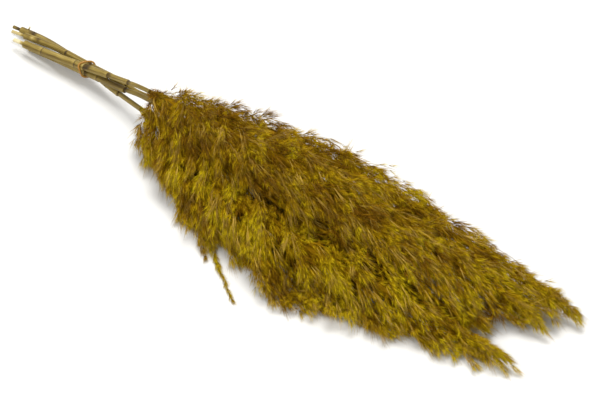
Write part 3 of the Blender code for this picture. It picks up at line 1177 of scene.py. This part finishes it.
def make_hair_material():
    hair, shader = new_material("dyed silky hair", roughness=0.6)
    shader.inputs["Specular IOR Level"].default_value = 0.04
    shader.inputs["Sheen Weight"].default_value = 0.03
    shader.inputs["Sheen Roughness"].default_value = 0.4
    shader.inputs["Sheen Tint"].default_value = linear("#d8c060")
    places = add_node(hair, "ShaderNodeUVMap", {"uv_map": "OFBake"})
    split = add_node(hair, "ShaderNodeSeparateXYZ", None, {0: (places, 0)})
    tones = [set_stops(add_node(hair, "ShaderNodeValToRGB", None, {0: (split, 0)}), stops)
             for stops in (HAIR_DYE, GLUME_DYE, STALK_DYE)]
    shade = set_stops(add_node(hair, "ShaderNodeValToRGB", None, {0: (split, 1)}), HAIR_ROOT_PAINTED_SHADE)
    colour = add_node(hair, "ShaderNodeMix", {"data_type": "RGBA", "blend_type": "MULTIPLY"},
                      {0: 1.0, 6: (tones[0], 0), 7: (shade, 0)})
    for border, tone in ((GLUMES_FROM, tones[1]), (BRANCHLETS_FROM, tones[2])):
        over = add_node(hair, "ShaderNodeMath", {"operation": "GREATER_THAN"},
                        {0: (split, 1), 1: border})
        colour = add_node(hair, "ShaderNodeMix", {"data_type": "RGBA"},
                          {0: (over, 0), 6: (colour, 2), 7: (tone, 0)})
    hair.node_tree.links.new(colour.outputs[2], shader.inputs["Base Color"])
    return hair


hair = make_hair_material()
print("material:", hair.name)

# %% [markdown]
# ## The plumes
#
# Each plume is built from the inside out: its heart and lock bodies, the locks, the lining and then
# the coat, which takes most of the faces. The seam between the upper and the front plume also gets
# bodies, or the paper would show through. One mesh for a whole plume would be too heavy to handle, so
# the coat is a piece of its own.

# %% Grow the plumes
UNDER_FACES = {"top": 25000, "back": 20000, "front": 35000, "low": 12000}
LINING_FACES = 210000
COAT_FACES = 545000
SPRAY_FACES = {"top": 18000, "back": 14000, "front": 18000, "low": 7000}
UNDER_SPREAD = (5, 34)
STRAY_FACES = 13000
STRAY_SPREAD = (4, 20)
OVER_SPREAD = (3, 26)
SPRAY_SPREAD = (1, 7)
# Tufts are darker towards their roots and lighter at their tips: painted shade from the tufts that lie
# over them.
TUFT_ROOT_PAINTED_SHADE = 0.75
# The lining's tone is lowered: painted shade for the hollows where it shows.
LINING_PAINTED_SHADE = -0.12
SEAM_DEPTH = 10
SEAM_RADIUS = 17


def share_of(name, plumes):
    """A plume's share of all fluff, by the length of its tufts."""
    lengths = {other: sum(length_of(path) for path, _ in rows) for other, rows in plumes.items()}
    return lengths[name] / sum(lengths.values())


def seam_bodies():
    return lock_bodies([(line - (0, 0, SEAM_DEPTH), SEAM_RADIUS) for line, _ in valley_lines()])


def grow_plume(name):
    """All pieces of one plume. Its random numbers start from the letters of its name."""
    rng = np.random.default_rng(sum(map(ord, name)))
    under = scatter(name, branches[name], rng, spikelet, UNDER_FACES[name], UNDER_SPREAD)
    lining_faces = LINING_FACES * share_of(name, lining)
    middle = scatter(name, lining[name], rng, spikelet, lining_faces, UNDER_SPREAD, TUFT_ROOT_PAINTED_SHADE,
                     LINING_PAINTED_SHADE)
    coat_faces = COAT_FACES * share_of(name, tufts)
    over = scatter(name, tufts[name], rng, spikelet, coat_faces, OVER_SPREAD, TUFT_ROOT_PAINTED_SHADE)
    lines = scatter(name, tufts[name], rng, spray, SPRAY_FACES[name], SPRAY_SPREAD)
    inner = [plume_heart(name)] + lock_bodies(branches[name])
    inner += [copy_unit(spikelet, rng, *under), copy_unit(spikelet, rng, *middle)]
    inner.append(copy_unit(spray, rng, *lines))
    if name == "front":
        inner += lock_bodies(strays) + seam_bodies()
        loose = scatter(name, strays, rng, spikelet, STRAY_FACES, STRAY_SPREAD)
        inner.append(copy_unit(spikelet, rng, *loose))
    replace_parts(add_piece(f"underhair_{name}", inner, hair), f"plume_{name}")
    outer = [copy_unit(spikelet, rng, *over)]
    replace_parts(add_piece(f"tufts_{name}_1", outer, hair), f"plume_{name}")


for name in STALKS:
    grow_plume(name)

# %% [markdown]
# ## Dry straw
#
# A pampas cane is a grass stem, wrapped in old leaf sheaths. Dry straw is hard and faintly glossy,
# with fine fibres along it, and the dye gives it an olive cast. Its tone follows the growth of the
# cane: dark at the nodes, pale where the bare stem sticks out. Shade is painted into the same tone:
# it is darker on the stem just outside a sheath's mouth, under the lip, beside a sheath's lapped edge
# and in the hollow of a cut end. Each cane therefore carries two attributes: its tone, and a grain
# space that is stretched along the cane, which bends with it as plain object coordinates would not.

# %% Make the straw
STRAW_TONES = ((0.0, "#241805"), (0.3, "#54410f"), (0.55, "#7e6a2a"), (0.75, "#a18c4c"),
               (1.0, "#d8cca4"))
# Real fibres are about 0.2 mm apart, too close to show here, so they are drawn 0.8 mm apart. The dye
# has dried in clouds about 6 mm across.
FIBRE_PER_MM = 1.3
MOTTLE_PER_MM = 0.16
FIBRE_RELIEF = 0.0002
NOISE_RANGE = (0.3, 0.7)
STREAK_SWING = 0.13
CLOUD_SWING = 0.1


def make_straw():
    straw, shader = new_material("dry straw", roughness=0.5)
    shader.inputs["Specular IOR Level"].default_value = 0.35
    tone = add_node(straw, "ShaderNodeAttribute", {"attribute_name": "tone"})
    grain = add_node(straw, "ShaderNodeAttribute", {"attribute_name": "grain"})
    fibre = add_node(straw, "ShaderNodeTexNoise", None,
                     {"Vector": (grain, 1), "Scale": FIBRE_PER_MM, "Detail": 3.0, "Roughness": 0.6})
    mottle = add_node(straw, "ShaderNodeTexNoise", None,
                      {"Vector": (grain, 1), "Scale": MOTTLE_PER_MM, "Detail": 2.0})
    low, high = NOISE_RANGE
    # Inputs 1 and 2 of Map Range are what it takes, 3 and 4 what it gives.
    streaks = add_node(straw, "ShaderNodeMapRange", None,
                       {0: (fibre, 0), 1: low, 2: high, 3: -STREAK_SWING, 4: STREAK_SWING})
    clouds = add_node(straw, "ShaderNodeMapRange", None,
                      {0: (mottle, 0), 1: low, 2: high, 3: -CLOUD_SWING, 4: CLOUD_SWING})
    streaked = add_node(straw, "ShaderNodeMath", {"operation": "ADD"},
                        {0: (tone, 2), 1: (streaks, 0)})
    clouded = add_node(straw, "ShaderNodeMath", {"operation": "ADD"},
                       {0: (streaked, 0), 1: (clouds, 0)})
    colour = set_stops(add_node(straw, "ShaderNodeValToRGB", None, {0: (clouded, 0)}), STRAW_TONES)
    bump = add_node(straw, "ShaderNodeBump", None,
                    {"Strength": 0.4, "Distance": FIBRE_RELIEF, "Height": (fibre, 0)})
    straw.node_tree.links.new(colour.outputs[0], shader.inputs["Base Color"])
    straw.node_tree.links.new(bump.outputs[0], shader.inputs["Normal"])
    return straw


straw = make_straw()
print("material:", straw.name)

# %% [markdown]
# ## The canes
#
# A cane starts as a cylinder whose side is cut into rings. Its cut end is inset and pushed in, which
# is the hollow of the stem. Each ring is then carried to its place on the stalk's line at its own
# radius. A bevelled curve would do for a plain rod, but not for a sheath's mouth, its lapped edge and
# the swollen nodes.

# %% Rings of a cane
CANE_SIDES = 28
CANE_STEP = 4
RING_ROOM = 3.5
# Rings at a mouth and at a node: how far along, how much wider, and how much lighter.
# At a mouth the stem just outside is narrowed and darker, which is painted shade under the sheath's
# lip, and the rim is a little lighter. The dark ring at a node is the node's own colour.
MOUTH = ((-1.2, -0.3, -0.36), (-0.3, -0.25, -0.3), (0.3, 0.0, 0.1), (1.5, 0.1, 0.06))
NODE = ((-2.8, 0.0, 0.08), (-0.9, 0.1, 0.08), (-0.3, -0.1, -0.32), (0.3, 0.05, -0.3),
        (0.8, 0.25, -0.04), (2.6, 0.0, 0.0))
PLAIN_TONE = 0.52
BARE_TONE = {"top": 0.98, "back": 0.86, "front": 0.42, "low": 0.6}
BARE_SHORT = 0.5
# Stains on a cane: where along it, where round it in degrees, how large, and how much lighter.
SPOTS = {
    "top": [(96, 70, 4.5, -0.5), (60, 60, 9, 0.08)],
    "back": [(1, 60, 3, -0.4), (7, 70, 6, 0.3), (13.5, 60, 3, -0.45), (55, 50, 2.2, -0.3)],
    "front": [(-2, 70, 4, -0.5), (8, 80, 10, 0.06), (102, 40, 3, 0.2)],
    "low": [(135, 60, 30, -0.16)],
}


def girth_at(name, x):
    steps = STALKS[name]["girth"]
    return [radius for start, radius in steps if x >= start or start == steps[0][0]][-1]


def cane_rings(name):
    """Stations along a cane: x, radius and tone, close together where a sheath or a node is."""
    stalk = STALKS[name]
    start = stalk["line"][0][0]
    end = stalk["base"] - GAP
    rings = {}
    mouths = [x for x, _ in stalk["girth"][1:]]
    count = round((end - start) / CANE_STEP)
    for k in range(count + 1):
        x = start + (end - start) * k / count
        if all(abs(x - other) > RING_ROOM for other in mouths + stalk["nodes"]):
            rings[x] = (girth_at(name, x), 0)
    for x in mouths:
        before, after = girth_at(name, x - 1), girth_at(name, x + 1)
        facing = 1 if after > before else -1
        for step, rise, shade in MOUTH:
            rings[x + step * facing] = ((min if step < 0 else max)(before, after) + rise, shade)
    for x in stalk["nodes"]:
        for step, rise, shade in NODE:
            rings[x + step] = (girth_at(name, x) + rise, shade)
    rows = []
    for x in sorted(rings):
        radius, shade = rings[x]
        tone = BARE_TONE[name] if x < mouths[0] - BARE_SHORT else PLAIN_TONE
        rows.append((x, radius, tone + shade))
    return rows


for name in STALKS:
    print(f"cane_{name}: {len(cane_rings(name))} rings")

# %% Model a rod
CUT_INSET = 0.32
CUT_DEPTH = 0.8
HALF_RING = 0.5
HAIR_BREADTH = 0.01


def select_only(thing, part, test):
    """Select the faces or edges of a mesh that pass a test, and nothing else."""
    bpy.ops.object.mode_set(mode="EDIT")
    bpy.ops.mesh.select_mode(type="FACE" if part == "polygons" else "EDGE")
    bpy.ops.mesh.select_all(action="DESELECT")
    bpy.ops.object.mode_set(mode="OBJECT")
    for one in getattr(thing.data, part):
        one.select = test([thing.data.vertices[v].co for v in one.vertices])
    bpy.ops.object.mode_set(mode="EDIT")


def model_rod(name, count):
    """A cylinder cut into rings one unit apart, hollowed at its lower end."""
    bpy.ops.object.select_all(action="DESELECT")
    bpy.ops.mesh.primitive_cylinder_add(vertices=CANE_SIDES, radius=1, depth=count - 1)
    rod = bpy.context.object
    rod.name = name
    select_only(rod, "edges", lambda ends: abs(ends[0].z - ends[1].z) > HALF_RING)
    bpy.ops.mesh.subdivide(number_cuts=count - 2)
    bottom = -(count - 1) / 2
    select_only(rod, "polygons", lambda corners: all(c.z < bottom + HAIR_BREADTH for c in corners))
    bpy.ops.mesh.inset(thickness=CUT_INSET)
    bpy.ops.transform.translate(value=(0, 0, CUT_DEPTH))
    bpy.ops.object.mode_set(mode="OBJECT")
    return rod


print(f"a rod will have {CANE_SIDES} sides")

# %% Bend the rods into canes
SKIN = 0.99
SHEATHED = 2.6
LAP = 0.16
LAP_PAINTED_SHADE = 0.22
LAP_NARROW = 12
LAP_TURN = {"top": 20, "back": 75, "front": 100, "low": 40}
OVAL = 0.02
HOLLOW_PAINTED_SHADE = 0.5
BARE_HOLLOW_PAINTED_SHADE = 0.25
GRAIN_STRETCH = 0.05
SMOOTH_ANGLE = math.radians(50)


def note_straw(mesh, tones, grains):
    """Write the two attributes that the straw reads."""
    mesh.attributes.new("tone", "FLOAT", "POINT").data.foreach_set("value", tones)
    mesh.attributes.new("grain", "FLOAT_VECTOR", "POINT").data.foreach_set("vector", grains)


def bend_rod(rod, stalk, rings):
    """Carry each ring to its place on the stalk's line and note its tone and grain."""
    xs, radii, tones = [list(column) for column in zip(*rings)]
    half = (len(rings) - 1) / 2
    tone_rows = []
    grain_rows = []
    lap_turn = math.radians(LAP_TURN[stalk])
    for vertex in rod.data.vertices:
        ring = vertex.co.z + half
        x = float(np.interp(ring, range(len(xs)), xs))
        radius = float(np.interp(ring, range(len(xs)), radii))
        tone = float(np.interp(ring, range(len(xs)), tones))
        inner = min(1, math.hypot(vertex.co.x, vertex.co.y))
        turn = math.atan2(vertex.co.y, vertex.co.x)
        lap = ((turn - lap_turn) / (2 * math.pi)) % 1
        if inner > SKIN and radius > SHEATHED:
            radius += LAP * (lap - 0.5) + OVAL * radius * math.cos(2 * turn)
            # Painted shade: the strip beside a sheath's lapped edge, under the overlap, is darker.
            tone -= LAP_PAINTED_SHADE * max(0, 1 - lap * LAP_NARROW)
        # Painted shade: the hollow of a cut end is darker, more so where the cane is sheathed.
        if inner < SKIN:
            tone -= HOLLOW_PAINTED_SHADE if radius > SHEATHED else BARE_HOLLOW_PAINTED_SHADE
        for place, spot_turn, size, change in SPOTS[stalk]:
            off = (turn - math.radians(spot_turn) + math.pi) % (2 * math.pi) - math.pi
            far = math.hypot(x - place, off * radius)
            tone += change * max(0, 1 - (far / size) ** 2)
        point = at_x(stalk, x) + turned_out(tangent(stalk, x), turn) * radius * inner
        vertex.co = (point - BUNCH_ZERO) * MM
        tone_rows.append(tone)
        grain_rows += [radius * math.cos(turn), radius * math.sin(turn), x * GRAIN_STRETCH]
    note_straw(rod.data, tone_rows, grain_rows)


def make_cane(name):
    rings = cane_rings(name)
    cane = model_rod(f"straw_{name}", len(rings))
    bend_rod(cane, name, rings)
    bpy.ops.object.mode_set(mode="EDIT")
    bpy.ops.mesh.select_all(action="SELECT")
    bpy.ops.mesh.normals_make_consistent(inside=False)
    bpy.ops.object.mode_set(mode="OBJECT")
    bpy.ops.object.shade_smooth_by_angle(angle=SMOOTH_ANGLE)
    cane.data.materials.append(straw)
    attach(cane, "root")
    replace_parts(cane, f"cane_{name}")
    print(f"{cane.name}: {len(cane.data.polygons)} faces")


for name in STALKS:
    make_cane(name)

# %% [markdown]
# ## The torn leaf
#
# One cane still has the foot of a leaf on it, a pale papery flap. It is a small grid, tapered and
# curled across, and Solidify gives it the thickness of dry leaf. It could be cut out of the cane's
# own mesh, but a leaf is a sheet of its own that only starts there.

# %% Model the leaf foot
LEAF_X = -12
LEAF_DIRECTION = Vector((0.1, 0.5, 0.6)).normalized()
LEAF_LENGTH = 7.0
LEAF_WIDTH = 5.2
LEAF_THICKNESS = 0.35
LEAF_CURL = 0.9
LEAF_RAG = 0.12
LEAF_RAG_WAVE = (7, 2)
LEAF_TAPER = 0.6
LEAF_TAPER_POWER = 1.6
LEAF_TONE = 0.9
LEAF_FOOT_SHADE = 0.35


def model_leaf():
    bpy.ops.object.select_all(action="DESELECT")
    bpy.ops.mesh.primitive_grid_add(x_subdivisions=6, y_subdivisions=8, size=2)
    leaf = bpy.context.object
    leaf.name = "leaf_foot"
    across_leaf = LEAF_DIRECTION.cross(tangent("front", LEAF_X)).normalized()
    normal = across_leaf.cross(LEAF_DIRECTION)
    foot = at_x("front", LEAF_X)
    tones = []
    grains = []
    for vertex in leaf.data.vertices:
        share = (vertex.co.y + 1) / 2
        ragged = 1 + LEAF_RAG * math.sin(LEAF_RAG_WAVE[0] * vertex.co.x + LEAF_RAG_WAVE[1])
        width = LEAF_WIDTH * (1 - LEAF_TAPER * share ** LEAF_TAPER_POWER) / 2
        curl = vertex.co.x * LEAF_CURL
        point = foot + LEAF_DIRECTION * share * LEAF_LENGTH * ragged
        point += across_leaf * math.sin(curl) / LEAF_CURL * width
        point += normal * (1 - math.cos(curl)) * width
        vertex.co = (point - BUNCH_ZERO) * MM
        tones.append(LEAF_TONE - LEAF_FOOT_SHADE * (1 - share) ** 2)
        grains += [vertex.co.x / MM, vertex.co.y / MM, share]
    note_straw(leaf.data, tones, grains)
    body = leaf.modifiers.new("leaf thickness", "SOLIDIFY")
    body.thickness = LEAF_THICKNESS * MM
    body.offset = 0
    bpy.ops.object.modifier_apply(modifier=body.name)
    bpy.ops.object.shade_smooth_by_angle(angle=SMOOTH_ANGLE)
    leaf.data.materials.append(straw)
    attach(leaf, "root")
    print(f"leaf_foot: {len(leaf.data.polygons)} faces")


model_leaf()

# %% [markdown]
# ## The band
#
# The band is a thin rubber ring, moulded and stretched round the canes. To the eye that is an amber
# brown with a soft gloss and faint flecks of bloom. Its solid already follows the canes, so a copy of
# that mesh is merged, turned to quads and subdivided, which rounds it without another drawing. The
# subdivision thins it a little, and shrink and fatten gives that back.

# %% Round the band
BAND_LOST = 0.3
# Bloom on old rubber is a fine dust. Its flecks are drawn 0.7 mm across, the least that shows.
BAND_FLECKS_PER_M = 1400
RUBBER_TONES = ((0.35, "#7d5516"), (0.65, "#ab7a2c"))


def make_rubber():
    rubber, shader = new_material("amber rubber", roughness=0.42)
    shader.inputs["Specular IOR Level"].default_value = 0.4
    place = add_node(rubber, "ShaderNodeTexCoord")
    flecks = add_node(rubber, "ShaderNodeTexNoise", None,
                      {"Vector": (place, "Object"), "Scale": BAND_FLECKS_PER_M, "Detail": 2.0})
    colour = set_stops(add_node(rubber, "ShaderNodeValToRGB", None, {0: (flecks, 0)}), RUBBER_TONES)
    rubber.node_tree.links.new(colour.outputs[0], shader.inputs["Base Color"])
    return rubber


def round_band():
    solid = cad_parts["ring"]
    band = bpy.data.objects.new("band", solid.data.copy())
    bpy.context.scene.collection.objects.link(band)
    bpy.ops.object.select_all(action="DESELECT")
    band.select_set(True)
    bpy.context.view_layer.objects.active = band
    bpy.ops.object.mode_set(mode="EDIT")
    bpy.ops.mesh.select_all(action="SELECT")
    bpy.ops.mesh.remove_doubles(threshold=0.00001)
    bpy.ops.mesh.tris_convert_to_quads()
    bpy.ops.object.mode_set(mode="OBJECT")
    rounding = band.modifiers.new("rounding", "SUBSURF")
    rounding.levels = 2
    rounding.render_levels = 2
    bpy.ops.object.modifier_apply(modifier=rounding.name)
    bpy.ops.object.mode_set(mode="EDIT")
    bpy.ops.mesh.select_all(action="SELECT")
    bpy.ops.transform.shrink_fatten(value=BAND_LOST * MM)
    bpy.ops.object.mode_set(mode="OBJECT")
    bpy.ops.object.shade_smooth()
    band.data.materials.clear()
    band.data.materials.append(make_rubber())
    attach(band, "root")
    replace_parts(band, "ring")
    print(f"band: {len(band.data.polygons)} faces")


round_band()
